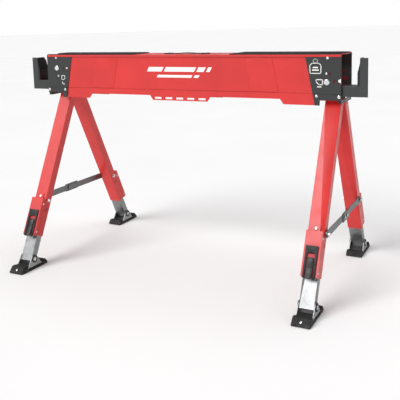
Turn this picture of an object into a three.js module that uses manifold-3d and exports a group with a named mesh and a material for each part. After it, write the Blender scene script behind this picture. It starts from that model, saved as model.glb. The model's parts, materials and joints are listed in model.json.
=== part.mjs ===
// Folding sawhorse: a sheet-steel beam on two pairs of folding legs. Millimetres, +Z up, the beam
// runs along X, the floor is z = 0 and the middle of the beam is at x = y = 0.
import * as THREE from 'three';
import { mergeVertices } from 'three/addons/utils/BufferGeometryUtils.js';
import Module from 'manifold-3d';

const wasm = await Module();
wasm.setup();

// Overall
const beamLength = 1000; // over the end plates
const beamTop = 665; // floor to the top pads
const beamWidth = 120; // over the lips of the cap
const legSplay = 26.5; // degrees from upright, each leg of a pair
const fitGap = 0.3; // between parts that touch or sit in one another

// Beam sheet parts
const padSheet = 2.2;
const capSheet = 2;
const lipSheet = 1.5;
const lipDepth = 6.5;
const panelSheet = 2;
const plateSheet = 2;
const bracketSheet = 2.4;
const bracketWeb = 3;
const bracketInset = 0.5; // from the end of the beam
const panelMidDepth = 128; // top to the bottom edge, middle of the beam
const panelEndDepth = 143; // top to the bottom edge, near the ends and at the centre tab
const centreTabHalf = 94;
const endDeepHalf = 334; // where the deep end part starts
const edgeSlope = 11; // run of a slanted step in the bottom edge
const bandDepth = 110; // top to the set-back lower band
const bandSetBack = 0.8;
const recessInner = 220; // slanted recess in the panel, at its top
const recessWidth = 80;
const recessSlant = 20;
const recessTop = 12;
const slotLength = 24;
const slotHeight = 6;
const slotPitch = 38;
const slotCount = 5;
const slotDepth = 136; // top to the middle of the slots
const padInner = 168; // half the bare middle of the cap
const padInset = 3;
const strapLength = 150;
const strapWidth = 25;
const strapSheet = 1.5;

// End plates, distances from the end of the beam
const plateReachTop = 102;
const plateReachBottom = 74;
const plateTabIn = 60;
const plateTabDepth = 143;
const plateDepth = 128;
const panelUnderPlate = 10; // how far the panel runs on behind the plate

// Leg pair pivots: the left pair folds over the right pair
const pivotIn = 40; // from the end of the beam
const leftPivotDepth = 46;
const packTop = 8.5; // top of the beam to the stowed left legs
const packGap = 14; // between the stowed pairs, holds the left braces
const legEndGap = 2; // right legs to the end bracket
const pivotPin = 5; // radius
const pivotHead = 8.5; // radius
const pinPlay = 0.3;
const hubCheek = 3;
const hubSheet = 3;
const hubGap = 1.16; // cross plate to the tops of the legs
const hubHalf = 18; // half width of the cross plate along X
const splayDepth = 141; // top to the pins that the legs splay on
const legTopGap = 10; // top inner corner of a leg to the middle of the beam
const splayPin = 4.5; // radius
const lugHalf = 5;

// Legs
const legWidth = 45;
const legDeep = 27;
const legWall = 1.8;
const legAbovePin = 6.5;
const slidePlay = 0.4;
const extWall = 2;
const extHidden = 239; // inside the outer leg
const extBelowPin = 9;
const footPivotZ = 32;
const footTurnRoom = 73; // outer leg to foot pivot, so that the foot can turn
const lockHole = 4.5;
const lockPitch = 24;
const lockCount = 6;
const lockFirst = 265; // foot pivot to the top lock hole

// Latch on each leg
const latchLength = 120;
const latchDeep = 14.2;
const latchWall = 2;
const latchBelowLeg = -3;
const bezelHalf = 17;
const bezelLength = 84;
const bezelSheet = 4.2;
const leverHalf = 10.3;
const leverPlay = 0.7; // each side, in the bezel
const leverLength = 77;

// Feet
const footHalf = 25;
const footToe = 65;
const footHeel = 60;
const footBase = 9;
const footNose = 20;
const insertSheet = 2.3;
const insertHalf = 33;
const insertEar = 12; // above the pivot
const footBolt = 4; // radius
const footBoltHead = 2.4;

// Spreader braces
const braceZ = 200;
const braceHeight = 20;
const braceSheet = 2.2;
const braceLap = 12;
const lockHalf = 32;
const lockSheet = 2;

// Support arms, pivoted at the lower outer corner of the beam
const armPivotIn = 6; // from the end of the beam
const armPivotDepth = 118;
const armSlot = 48; // clear gap to the end of the beam, takes timber 38 thick
const armFlange = 22;
const armRise = 106; // above the pivot
const armSeat = 30; // top of the ledge above the pivot
const armLedge = 30;
const armWide = 45.8;
const armSheet = 2.5;
const armPin = 4; // radius
const armPinHead = 4.9; // radius
const armLiner = 6.5; // thickness of the liner on the upright
const armLinerTop = 92; // above the pivot
const armLinerSlope = 26;
const armCorner = 5;

// Derived levels
const endX = beamLength / 2;
const depth = (t) => beamTop - t;
const capTop = beamTop - padSheet - fitGap;
const capUnder = capTop - capSheet;
const sheetTop = capUnder - fitGap;
const yCap = beamWidth / 2;
const yPlate = yCap - lipSheet - fitGap;
const yPanel = yPlate - plateSheet - fitGap;
const yBracketIn = yPanel - bracketSheet;
const yCheek = yBracketIn - fitGap;
const yCheekIn = yCheek - hubCheek;
const splayAngle = THREE.MathUtils.degToRad(legSplay);
const splaySin = Math.sin(splayAngle);
const splayCos = Math.cos(splayAngle);
// The legs stow in two layers under the cap, and each layer is as high as a leg is wide
const rightLegIn = legWidth / 2 + bracketWeb + bracketInset + legEndGap;
const leftLegIn = pivotIn + leftPivotDepth - packTop - legWidth / 2;
const legIn = { left: leftLegIn, right: rightLegIn }; // middle of the legs from the end of the beam
const rightPivotDepth = packTop + 1.5 * legWidth + packGap + rightLegIn - pivotIn;
const pivotDepth = { left: leftPivotDepth, right: rightPivotDepth };
const splayPinY = legTopGap + (legDeep / 2) * splayCos + legAbovePin * splaySin;
const hubDepth = splayDepth - hubSheet - hubGap - (legDeep / 2) * splaySin - legAbovePin * splayCos;
const splayZ = depth(splayDepth);
const legRun = (splayZ - footPivotZ) / splayCos; // splay pin to foot pivot
const footY = splayPinY + legRun * splaySin;
const tubeEnd = legRun - footTurnRoom;
const braceRun = (splayZ - braceZ) / splayCos;
const braceY = splayPinY + braceRun * splaySin;
const extWidth = legWidth - 2 * (legWall + slidePlay);
const extDeep = legDeep - 2 * (legWall + slidePlay);
const latchIn = legDeep / 2 + fitGap;
const latchFace = latchIn + latchDeep;
const latchTop = tubeEnd - latchLength - latchBelowLeg;
const bezelTop = tubeEnd - latchBelowLeg - bezelLength + 4;
const leverSlot = leverHalf + leverPlay; // half width of the opening in the bezel
const armPivotX = endX - armPivotIn;
const armInner = armPivotIn + armSlot; // from the pivot
const armOuter = armInner + armFlange;
const yArm = yCheekIn - 0.4;
const slotReach = 72; // of the opening in the cap, from the end of the beam
const insertEdge = Math.hypot(extBelowPin, extDeep / 2) + 0.6; // clear of the turning end of the leg
const lateral = (side) => (side === 'left' ? -1 : 1);

const root = new THREE.Group();

function circle(cx, cy, r, count = 24) {
  const step = (2 * Math.PI) / count;
  return Array.from({ length: count }, (_, i) => [cx + r * Math.cos(i * step), cy + r * Math.sin(i * step)]);
}

function extrude(points, low, high, holes = []) {
  const outline = new THREE.Shape(points.map(([a, b]) => new THREE.Vector2(a, b)));
  const options = { depth: high - low, bevelEnabled: false };
  const body = new THREE.ExtrudeGeometry(outline, options).translate(0, 0, low);
  return holes.length ? cut(body, ...holes.map((hole) => extrude(hole, low - 1, high + 1))) : body;
}

// Prisms: the profile's plane is in the name, and the extrusion runs between low and high
const prismXY = (points, low, high, holes) => extrude(points, low, high, holes);
const prismXZ = (points, low, high, holes) =>
  extrude(points, -high, -low, holes).rotateX(Math.PI / 2);
const prismYZ = (points, low, high, holes) =>
  extrude(points, low, high, holes).applyMatrix4(
    new THREE.Matrix4().makeBasis(
      new THREE.Vector3(0, 1, 0),
      new THREE.Vector3(0, 0, 1),
      new THREE.Vector3(1, 0, 0),
    ),
  );
const rectangle = (a, b, c, d) => [[a, b], [c, b], [c, d], [a, d]];
const block = (x0, x1, y0, y1, z0, z1) => prismXY(rectangle(x0, y0, x1, y1), z0, z1);

function turned(profile, axis) {
  const geometry = new THREE.LatheGeometry(profile.map(([r, a]) => new THREE.Vector2(r, a)), 24);
  if (axis === 'x') geometry.rotateZ(-Math.PI / 2);
  return geometry;
}

function solid(geometry) {
  const bare = new THREE.BufferGeometry();
  bare.setAttribute('position', geometry.attributes.position);
  if (geometry.index) bare.setIndex(geometry.index);
  const merged = mergeVertices(bare, 1e-4);
  return new wasm.Manifold(new wasm.Mesh({
    numProp: 3,
    vertProperties: new Float32Array(merged.attributes.position.array),
    triVerts: new Uint32Array(merged.index.array),
  }));
}

function shell(manifold) {
  const mesh = manifold.getMesh();
  const geometry = new THREE.BufferGeometry();
  geometry.setAttribute('position', new THREE.BufferAttribute(new Float32Array(mesh.vertProperties), 3));
  geometry.setIndex(new THREE.BufferAttribute(new Uint32Array(mesh.triVerts), 1));
  return geometry;
}

const join = (first, ...rest) => shell(rest.reduce((a, b) => a.add(solid(b)), solid(first)));
const cut = (first, ...rest) => shell(rest.reduce((a, b) => a.subtract(solid(b)), solid(first)));

const colours = {
  red: 0xc8202c,
  black: 0x2b2b2b,
  plastic: 0x1c1c1c,
  zinc: 0x9a9c9e,
  steel: 0xb4b6b8,
  rubber: 0x181818,
  webbing: 0x202020,
};

function add(name, geometry, colour) {
  geometry.computeVertexNormals();
  const material = new THREE.MeshStandardMaterial({ color: colours[colour] });
  const mesh = new THREE.Mesh(geometry, material);
  mesh.name = name;
  root.add(mesh);
}

// Beam
function buildCap() {
  const lipEnd = capTop - lipDepth;
  const yIn = yCap - lipSheet;
  const profile = [
    [-yCap, lipEnd], [-yIn, lipEnd], [-yIn, capUnder], [yIn, capUnder],
    [yIn, lipEnd], [yCap, lipEnd], [yCap, capTop], [-yCap, capTop],
  ];
  const openings = [-1, 1].map((s) => {
    const [a, b] = [s * (endX - slotReach), s * (endX + 5)].sort((p, q) => p - q);
    return block(a, b, -yArm - 0.8, -yArm + armWide + 0.8, capUnder - 1, capTop + 1);
  });
  add('top_rail', cut(prismYZ(profile, -endX, endX), ...openings), 'red');
}

function buildPads() {
  const y = yCap - padInset;
  const notch = [-yArm - 0.8, -yArm + armWide + 0.8];
  for (const side of ['left', 'right']) {
    const s = lateral(side);
    const x = endX - 1;
    const outline = [
      [s * padInner, -y], [s * x, -y], [s * x, notch[0]], [s * (endX - slotReach), notch[0]],
      [s * (endX - slotReach), notch[1]], [s * x, notch[1]], [s * x, y], [s * padInner, y],
    ];
    add(`top_pad_${side}`, prismXY(outline, beamTop - padSheet, beamTop), 'plastic');
  }
}

function buildStrap() {
  const low = capTop + fitGap;
  const half = strapLength / 2;
  add('carry_strap', block(-half, half, -strapWidth / 2, strapWidth / 2, low, low + strapSheet), 'webbing');
}

function panelOutline() {
  const top = endX - plateReachTop + panelUnderPlate;
  const bottom = endX - plateReachBottom + panelUnderPlate;
  const right = [
    [0, panelEndDepth], [centreTabHalf, panelEndDepth], [centreTabHalf + edgeSlope, panelMidDepth],
    [endDeepHalf - edgeSlope, panelMidDepth], [endDeepHalf, panelEndDepth],
    [bottom, panelEndDepth], [top, beamTop - sheetTop],
  ];
  const left = right.slice(1).reverse().map(([x, t]) => [-x, t]);
  return [...right.slice(1), ...left].map(([x, t]) => [x, depth(t)]);
}

function ventSlots() {
  return Array.from({ length: slotCount }, (_, i) => {
    const x = (i - (slotCount - 1) / 2) * slotPitch;
    const z = depth(slotDepth);
    return rectangle(x - slotLength / 2, z - slotHeight / 2, x + slotLength / 2, z + slotHeight / 2);
  });
}

function buildPanel(name, sy) {
  const [low, high] = [sy * (yPanel - panelSheet), sy * yPanel].sort((a, b) => a - b);
  const face = [sy * (yPanel - bandSetBack), sy * (yPanel + 1)].sort((a, b) => a - b);
  const body = prismXZ(panelOutline(), low, high, ventSlots());
  const band = block(-endX, endX, ...face, depth(panelEndDepth) - 1, depth(bandDepth));
  const recess = [-1, 1].map((s) => {
    const bottom = depth(bandDepth - 1);
    const top = depth(recessTop);
    return prismXZ([
      [s * recessInner, top], [s * (recessInner + recessWidth), top],
      [s * (recessInner + recessWidth + recessSlant), bottom], [s * (recessInner + recessSlant), bottom],
    ], ...face);
  });
  add(name, cut(body, band, ...recess), 'red');
}

function plateOutline(s) {
  return [
    [endX - plateReachTop, beamTop - sheetTop], [endX - plateReachBottom, plateTabDepth],
    [endX - plateTabIn, plateTabDepth], [endX - plateTabIn, plateDepth],
    [endX, plateDepth], [endX, beamTop - sheetTop],
  ].map(([x, t]) => [s * x, depth(t)]);
}

// The small round windows in each end plate
const windowRadius = 4.4;
const windows = { left: [[68, 46]], right: [[30, 56], [18, 76]] };

function buildEndPlate(side, face) {
  const s = lateral(side);
  const sy = face === 'front' ? -1 : 1;
  const holes = [
    circle(s * (endX - pivotIn), depth(pivotDepth[side]), pivotPin + pinPlay),
    circle(s * armPivotX, depth(armPivotDepth), armPin + pinPlay, 16),
    ...windows[side].map(([x, t]) => circle(s * (endX - x), depth(t), windowRadius, 14)),
  ];
  const [low, high] = [sy * (yPlate - plateSheet), sy * yPlate].sort((a, b) => a - b);
  add(`${side}_end_plate_${face}`, prismXZ(plateOutline(s), low, high, holes), 'black');
}

function buildBracket(side) {
  const s = lateral(side);
  const outer = endX - bracketInset;
  const tab = [
    [endX - plateTabIn + 1, 98], [outer, 98], [outer, 137], [endX - 12, 131],
    [endX - 12, plateDepth - 0.5], [endX - plateTabIn + 1, plateDepth - 0.5],
  ].map(([x, t]) => [s * x, depth(t)]);
  const holes = [
    circle(s * armPivotX, depth(armPivotDepth), armPin + pinPlay, 16),
    circle(s * (endX - pivotIn), depth(pivotDepth[side]), pivotPin + pinPlay),
  ];
  const web = [
    [-yPanel, depth(126.5)], [-yPanel, depth(131)], [-yPanel + 8, depth(137)],
    [yPanel - 8, depth(137)], [yPanel, depth(131)], [yPanel, depth(126.5)],
  ];
  const [x0, x1] = [s * (outer - bracketWeb), s * outer].sort((a, b) => a - b);
  add(`${side}_end_bracket`, join(
    prismYZ(web, x0, x1),
    prismXZ(tab, -yPanel, -yBracketIn, holes),
    prismXZ(tab, yBracketIn, yPanel, holes),
  ), 'black');
}

function buildPivotPins(side) {
  const start = yCheekIn;
  const seat = yPlate + fitGap;
  const profile = [
    [0, start], [pivotPin, start], [pivotPin, seat], [pivotHead, seat],
    [pivotHead, seat + 1.8], [pivotHead - 2, seat + 2.8], [0, seat + 2.8],
  ];
  for (const face of ['front', 'back']) {
    const pin = turned(profile, 'y');
    if (face === 'front') pin.rotateX(Math.PI);
    pin.translate(lateral(side) * (endX - pivotIn), 0, depth(pivotDepth[side]));
    add(`${side}_pivot_pin_${face}`, pin, 'steel');
  }
}

// Support arms
function buildArmPin(side) {
  const seat = yPlate + fitGap;
  const profile = [
    [0, -seat - 2.2], [armPinHead - 0.8, -seat - 2.2], [armPinHead, -seat], [armPin, -seat], [armPin, seat],
    [armPinHead, seat], [armPinHead - 0.8, seat + 2.2], [0, seat + 2.2],
  ];
  const pin = turned(profile, 'y').translate(lateral(side) * armPivotX, 0, depth(armPivotDepth));
  add(`${side}_arm_pin`, pin, 'steel');
}

function buildArm(side) {
  const s = lateral(side);
  const at = ([x, z]) => [s * (armPivotX + x), depth(armPivotDepth) + z];
  const foot = armSeat - armLedge;
  const tail = [[-6, -4], [-3, -7], [3, -7], [6, -4], [14, foot]];
  const front = [
    ...tail, [armOuter, foot], [armOuter, armRise], [armInner + armCorner, armRise],
    [armInner, armRise - armCorner], [armInner, armSeat], [-6, armSeat],
  ];
  const liner = [
    [armInner - armLiner, armSeat - 1], [armInner + 1, armSeat - 1], [armInner + 1, armLinerTop],
    [armInner, armLinerTop], [armInner - armLiner, armLinerTop - armLinerSlope],
  ];
  const rear = [...tail, [armInner + armSheet, foot], [armInner + armSheet, armSeat], [-6, armSeat]];
  const hole = [circle(...at([0, 0]), armPin + pinPlay, 16)];
  const yBack = -yArm + armWide;
  const upright = [
    [-yArm, armSeat - 1], [-yArm, armRise - armCorner], [-yArm + 1, armRise - armCorner],
    [-yArm + 1, armRise], [yBack - 12, armRise], [yBack, armRise - 12], [yBack, armSeat - 1],
  ].map(([y, z]) => [y, depth(armPivotDepth) + z]);
  const seatBox = [at([-6, armSeat - armSheet]), at([armInner + armSheet, armSeat])];
  const xs = [seatBox[0][0], seatBox[1][0]].sort((a, b) => a - b);
  const [u0, u1] = [at([armInner, 0])[0], at([armInner + armSheet, 0])[0]].sort((a, b) => a - b);
  add(`${side}_support_arm`, join(
    prismXZ(front.map(at), -yArm, -yArm + armSheet, hole),
    prismXZ(liner.map(at), -yArm, yBack),
    prismXZ(rear.map(at), yBack - armSheet, yBack, hole),
    block(...xs, -yArm, yBack, seatBox[0][1], seatBox[1][1]),
    prismYZ(upright, u0, u1),
  ), 'black');
}

// Leg pair hub: two cheeks on the pivot pins, a cross plate, and a lug with a pin for each leg
function buildHub(side) {
  const s = lateral(side);
  const px = endX - pivotIn;
  const lx = endX - legIn[side];
  const outer = Math.min(lx + hubHalf, endX - 15);
  const inner = lx - hubHalf;
  const top = pivotDepth[side];
  const low = hubDepth + hubSheet;
  const cheek = [
    [inner, low], [inner, low - 14], [px - 10, top + 5], [px - 11, top - 3], [px - 6, top - 10],
    [px + 6, top - 10], [px + 11, top - 3], [px + 10, top + 5], [outer, low - 14], [outer, low],
  ].map(([x, t]) => [s * x, depth(t)]);
  const hole = [circle(s * px, depth(top), pivotPin + pinPlay)];
  const xs = [s * inner, s * outer].sort((a, b) => a - b);
  const lugX = [s * lx - hubHalf + 3, s * lx + hubHalf - 3];
  const pinHalf = legWidth / 2 + 1;
  const pieces = [-1, 1].flatMap((sy) => [
    prismXZ(cheek, ...[sy * yCheekIn, sy * yCheek].sort((a, b) => a - b), hole),
    block(...lugX, sy * splayPinY - lugHalf, sy * splayPinY + lugHalf, depth(splayDepth + 6), depth(low - 1)),
    turned([[0, -pinHalf], [splayPin, -pinHalf], [splayPin, pinHalf], [0, pinHalf]], 'x')
      .translate(s * lx, sy * splayPinY, splayZ),
  ]);
  const plate = block(...xs, -yCheek, yCheek, depth(low), depth(hubDepth));
  add(`${side}_leg_hub`, join(plate, ...pieces), 'red');
}

// Legs are drawn hanging straight down from the splay pin, outward as +Y times sy, then tilted
function placeLeg(geometry, side, sy) {
  const x = lateral(side) * (endX - legIn[side]);
  return geometry.rotateX(sy * splayAngle).translate(x, sy * splayPinY, splayZ);
}

const ring = (w, d, wall) => [
  rectangle(-w / 2, -d / 2, w / 2, d / 2),
  [rectangle(-w / 2 + wall, -d / 2 + wall, w / 2 - wall, d / 2 - wall)],
];
const rodX = (r, half, y, z, count = 16) => prismYZ(circle(y, z, r, count), -half, half);
const outward = (sy, a, b) => [sy * a, sy * b].sort((p, q) => p - q);

function buildOuterLeg(side, sy, name) {
  const [outline, hole] = ring(legWidth, legDeep, legWall);
  const tube = prismXY(outline, -tubeEnd, legAbovePin, hole);
  const oblong = prismYZ(rectangle(-2.5, -tubeEnd + 78, 2.5, -tubeEnd + 90), -legWidth, legWidth);
  const leg = cut(tube, rodX(splayPin + pinPlay, legWidth, 0, 0), oblong);
  add(`${name}_outer_leg`, placeLeg(leg, side, sy), 'red');
}

function buildExtension(side, sy, name) {
  const [outline, hole] = ring(extWidth, extDeep, extWall);
  const tube = prismXY(outline, -legRun - extBelowPin, -tubeEnd + extHidden, hole);
  const holes = Array.from({ length: lockCount }, (_, i) => {
    const z = -legRun + lockFirst - i * lockPitch;
    return prismXZ(circle(0, z, lockHole, 12), ...outward(sy, extDeep / 2 - extWall - 1, extDeep / 2 + 1));
  });
  const leg = cut(tube, rodX(footBolt + pinPlay, extWidth, 0, -legRun), ...holes);
  add(`${name}_leg_extension`, placeLeg(leg, side, sy), 'zinc');
}

function buildLatch(side, sy, name) {
  const half = legWidth / 2;
  const inner = half - latchWall;
  const back = latchFace - latchWall;
  const end = latchTop + latchLength;
  const channel = prismXY([
    [-half, latchIn], [-inner, latchIn], [-inner, back], [inner, back],
    [inner, latchIn], [half, latchIn], [half, latchFace], [-half, latchFace],
  ].map(([x, y]) => [x, sy * y]), -end, -latchTop);
  const lid = block(-half, half, ...outward(sy, latchIn, latchFace), -latchTop - latchWall, -latchTop);
  const ear = block(-11, 11, ...outward(sy, latchIn, latchIn + 2.4), -latchTop - 2, -latchTop + 16);
  const opening = leverSlot + 1;
  const window = block(-opening, opening, ...outward(sy, back - 1, latchFace + 1), -end - 1, -bezelTop - 6);
  const channelCut = cut(channel, window);
  add(`${name}_latch_housing`, placeLeg(join(channelCut, lid, ear), side, sy), 'red');

  const low = latchFace + fitGap;
  const frame = [
    [-bezelHalf, -bezelTop], [-bezelHalf, -bezelTop - bezelLength], [-leverSlot, -bezelTop - bezelLength],
    [-leverSlot, -bezelTop - 8], [leverSlot, -bezelTop - 8], [leverSlot, -bezelTop - bezelLength],
    [bezelHalf, -bezelTop - bezelLength], [bezelHalf, -bezelTop],
  ];
  const bezel = prismXZ(frame, ...outward(sy, low, low + bezelSheet));
  add(`${name}_latch_bezel`, placeLeg(bezel, side, sy), 'plastic');

  const t = low + 1.2;
  const e = bezelTop + 9;
  const profile = [
    [t, -e], [t + 3.4, -e], [t + 3.4, -e - leverLength + 20], [t + 7.8, -e - leverLength + 3],
    [t + 6, -e - leverLength], [t + 0.8, -e - leverLength + 10],
  ].map(([y, z]) => [sy * y, z]);
  const lever = join(
    prismYZ(profile, -leverHalf, leverHalf),
    rodX(1.6, leverHalf + 0.4, sy * (t + 1.7), -e - 5, 12),
  );
  add(`${name}_latch_lever`, placeLeg(lever, side, sy), 'plastic');
}

function buildFoot(side, sy, name) {
  const place = (geometry) =>
    geometry.translate(lateral(side) * (endX - legIn[side]), sy * footY, 0);
  const sole = [
    [-footHeel + 4, 0], [footToe - 3, 0], [footToe, 4], [footToe - 15, footNose], [insertHalf + 4, footNose],
    [insertHalf + 1.5, footBase], [-insertHalf - 1.5, footBase], [-insertHalf - 4, footNose - 3],
    [-footHeel + 11, footNose - 3], [-footHeel, 4],
  ].map(([y, z]) => [sy * y, z]);
  const base = footBase + fitGap;
  const apron = block(
    -extWidth / 2, extWidth / 2, ...outward(sy, insertEdge, insertHalf + 5),
    base + insertSheet + fitGap, footNose,
  );
  add(`${name}_foot_pad`, place(join(prismYZ(sole, -footHalf, footHalf), apron)), 'rubber');

  const earTop = footPivotZ + insertEar;
  const ear = [
    [-insertHalf, base], [insertHalf, base], [10, earTop - 3], [6, earTop], [-6, earTop], [-10, earTop - 3],
  ];
  const hole = [circle(0, footPivotZ, footBolt + pinPlay, 16)];
  const inner = extWidth / 2 + 0.6;
  const outer = inner + insertSheet;
  add(`${name}_foot_insert`, place(join(
    block(-outer, outer, -insertHalf, insertHalf, base, base + insertSheet),
    prismYZ(ear, -outer, -inner, hole),
    prismYZ(ear, inner, outer, hole),
  )), 'steel');

  const seat = outer + fitGap;
  const bolt = turned([
    [0, -seat - footBoltHead], [5, -seat - footBoltHead], [7, -seat - footBoltHead / 2], [7, -seat],
    [footBolt, -seat], [footBolt, seat], [7, seat], [7, seat + footBoltHead / 2],
    [5, seat + footBoltHead], [0, seat + footBoltHead],
  ], 'x').translate(0, 0, footPivotZ);
  add(`${name}_foot_bolt`, place(bolt), 'steel');
}

function capsule(y0, y1, z, r) {
  const arc = (cy, from) => Array.from({ length: 9 }, (_, i) => {
    const a = from + (i * Math.PI) / 8;
    return [cy + r * Math.cos(a), z + r * Math.sin(a)];
  });
  return [...arc(y1, -Math.PI / 2), ...arc(y0, Math.PI / 2)];
}

// The back brace lies next to the legs, the front brace outside it, and the lock outside both
function buildSpreader(side) {
  const s = lateral(side);
  const face = endX - legIn[side] + legWidth / 2;
  const layer = (a, b) => [s * (face + a), s * (face + b)].sort((p, q) => p - q);
  const first = fitGap + 0.2;
  const second = first + braceSheet + fitGap;
  const third = second + braceSheet + fitGap;
  const disc = (y, r, a, b) => prismYZ(circle(y, braceZ, r, 20), ...layer(a, b));
  add(`${side}_brace_back`, join(
    prismYZ(capsule(-braceLap, braceY, braceZ, braceHeight / 2), ...layer(first, first + braceSheet)),
    disc(braceY, 6, first + braceSheet - 0.1, first + braceSheet + 2.4),
  ), 'zinc');
  add(`${side}_brace_front`, join(
    prismYZ(capsule(-braceY, braceLap, braceZ, braceHeight / 2), ...layer(second, second + braceSheet)),
    disc(-braceY, 8, fitGap, second + 0.1),
    disc(-braceY, 6, second + braceSheet - 0.1, second + braceSheet + 2.4),
  ), 'zinc');
  const h = braceHeight / 2 + 0.4;
  const wall = rectangle(-lockHalf, braceZ - h - 2, lockHalf, braceZ + h + 2);
  const plate = prismYZ(wall, ...layer(third, third + lockSheet));
  const rivet = (y) => disc(y, 5, third + lockSheet - 0.1, third + lockSheet + 1.4);
  const lip = (sz) => prismYZ(
    rectangle(-lockHalf, braceZ + sz * h, lockHalf, braceZ + sz * (h + 2)),
    ...layer(second, third + 0.1),
  );
  add(`${side}_brace_lock`, join(plate, lip(1), lip(-1), rivet(-18), rivet(6)), 'zinc');
}

buildCap();
buildPads();
buildStrap();
buildPanel('front_panel', -1);
buildPanel('back_panel', 1);
for (const side of ['left', 'right']) {
  for (const face of ['front', 'back']) buildEndPlate(side, face);
  buildBracket(side);
  buildPivotPins(side);
  buildArmPin(side);
  buildArm(side);
  buildHub(side);
  buildSpreader(side);
  for (const [face, sy] of [['front', -1], ['back', 1]]) {
    const name = `${side}_${face}`;
    buildOuterLeg(side, sy, name);
    buildExtension(side, sy, name);
    buildLatch(side, sy, name);
    buildFoot(side, sy, name);
  }
}

export default root;
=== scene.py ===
# Folding sawhorse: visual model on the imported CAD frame. Metres, +Z up.
import json
import math

import bmesh
import bpy
from mathutils import Matrix, Vector


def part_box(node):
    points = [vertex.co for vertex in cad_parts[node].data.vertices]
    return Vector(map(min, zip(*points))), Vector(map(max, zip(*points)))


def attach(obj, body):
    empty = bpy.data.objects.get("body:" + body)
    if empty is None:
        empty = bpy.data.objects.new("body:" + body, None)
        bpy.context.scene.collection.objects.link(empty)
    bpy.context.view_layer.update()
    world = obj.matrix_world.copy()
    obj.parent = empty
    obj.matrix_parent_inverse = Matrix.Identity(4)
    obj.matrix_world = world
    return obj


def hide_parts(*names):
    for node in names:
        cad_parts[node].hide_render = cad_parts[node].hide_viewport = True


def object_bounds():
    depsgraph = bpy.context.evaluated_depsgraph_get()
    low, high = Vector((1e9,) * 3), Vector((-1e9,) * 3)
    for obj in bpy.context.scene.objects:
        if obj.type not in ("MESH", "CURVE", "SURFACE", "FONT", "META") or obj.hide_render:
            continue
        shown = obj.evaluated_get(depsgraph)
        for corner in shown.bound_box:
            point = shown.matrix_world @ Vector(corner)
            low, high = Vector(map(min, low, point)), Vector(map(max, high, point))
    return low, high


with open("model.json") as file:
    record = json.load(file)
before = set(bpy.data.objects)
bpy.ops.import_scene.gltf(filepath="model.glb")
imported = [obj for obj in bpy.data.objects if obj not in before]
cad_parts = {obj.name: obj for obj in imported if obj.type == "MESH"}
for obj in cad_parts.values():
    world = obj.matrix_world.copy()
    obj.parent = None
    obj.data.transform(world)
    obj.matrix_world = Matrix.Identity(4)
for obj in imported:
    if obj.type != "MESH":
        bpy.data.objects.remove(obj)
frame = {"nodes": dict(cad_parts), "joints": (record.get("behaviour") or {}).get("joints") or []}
cad_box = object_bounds()
nodes = frame["nodes"]
joints = {j["name"]: j for j in frame["joints"]}
SIDES = (("left", -1), ("right", 1))
FACES = (("front", -1), ("back", 1))
MM = 0.001
SPLAY = math.radians(26.5)  # legs from upright, at rest
# These two bound the near-black painted shade on the inside of the support arms.
SLOT_SHADE_X, SLOT_SHADE_Z = 0.5484, 0.5772  # inner face and ledge of a support arm
CREASE_DEPTH = 0.112  # top of the beam to the crease across the end plates


# ---------------------------------------------------------------- materials
class Paint:
    """A material with a Principled shader and short calls for its node tree."""

    def __init__(self, name, colour, rough, metal=0.0):
        self.mat = bpy.data.materials.new(name)
        self.mat.use_nodes = True
        self.tree = self.mat.node_tree
        self.shader = self.tree.nodes["Principled BSDF"]
        self.shader.inputs["Metallic"].default_value = metal
        self.shader.inputs["Roughness"].default_value = rough
        self.shader.inputs["Base Color"].default_value = (*colour, 1)
        self.mat.diffuse_color = (*colour, 1)
        self.place = self.node("ShaderNodeTexCoord").outputs["Object"]
        self.height = None

    def node(self, kind, **values):
        made = self.tree.nodes.new(kind)
        for key, value in values.items():
            setattr(made, key, value)
        return made

    def link(self, a, b):
        self.tree.links.new(a, b)

    def mapped(self, scale=(1, 1, 1), turn=(0, 0, 0)):
        made = self.node("ShaderNodeMapping")
        made.inputs["Scale"].default_value = scale
        made.inputs["Rotation"].default_value = turn
        self.link(self.place, made.inputs["Vector"])
        return made.outputs["Vector"]

    def noise(self, scale, detail=2.0, place=None, rough=0.5):
        made = self.node("ShaderNodeTexNoise")
        made.inputs["Scale"].default_value = scale
        made.inputs["Detail"].default_value = detail
        made.inputs["Roughness"].default_value = rough
        self.link(place or self.place, made.inputs["Vector"])
        return made.outputs["Fac"]

    def remap(self, value, low, high, out_low=0.0, out_high=1.0):
        made = self.node("ShaderNodeMapRange")
        for key, number in zip(("From Min", "From Max", "To Min", "To Max"), (low, high, out_low, out_high)):
            made.inputs[key].default_value = number
        self.link(value, made.inputs["Value"])
        return made.outputs["Result"]

    def math(self, kind, a, b=None):
        made = self.node("ShaderNodeMath", operation=kind)
        for socket, value in zip(made.inputs, (a, b)):
            if isinstance(value, (int, float)):
                socket.default_value = value
            elif value is not None:
                self.link(value, socket)
        return made.outputs[0]

    def axis(self, which):
        made = self.node("ShaderNodeSeparateXYZ")
        self.link(self.place, made.inputs[0])
        return made.outputs[which]

    def blend(self, factor, first, second):
        made = self.node("ShaderNodeMix", data_type="RGBA")
        self.link(factor, made.inputs["Factor"])
        for socket, value in ((made.inputs[6], first), (made.inputs[7], second)):
            if isinstance(value, tuple):
                socket.default_value = (*value, 1)
            else:
                self.link(value, socket)
        return made.outputs[2]

    def base(self, colour):
        self.link(colour, self.shader.inputs["Base Color"])

    def rough(self, value):
        self.link(value, self.shader.inputs["Roughness"])

    def bump(self, height, strength, distance):
        made = self.node("ShaderNodeBump")
        made.inputs["Strength"].default_value = strength
        made.inputs["Distance"].default_value = distance
        self.link(height, made.inputs["Height"])
        if self.height is not None:
            self.link(self.height, made.inputs["Normal"])
        self.height = made.outputs["Normal"]
        self.link(self.height, self.shader.inputs["Normal"])

    def set(self, **values):
        for key, value in values.items():
            self.shader.inputs[key.replace("_", " ")].default_value = value
        return self


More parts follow.
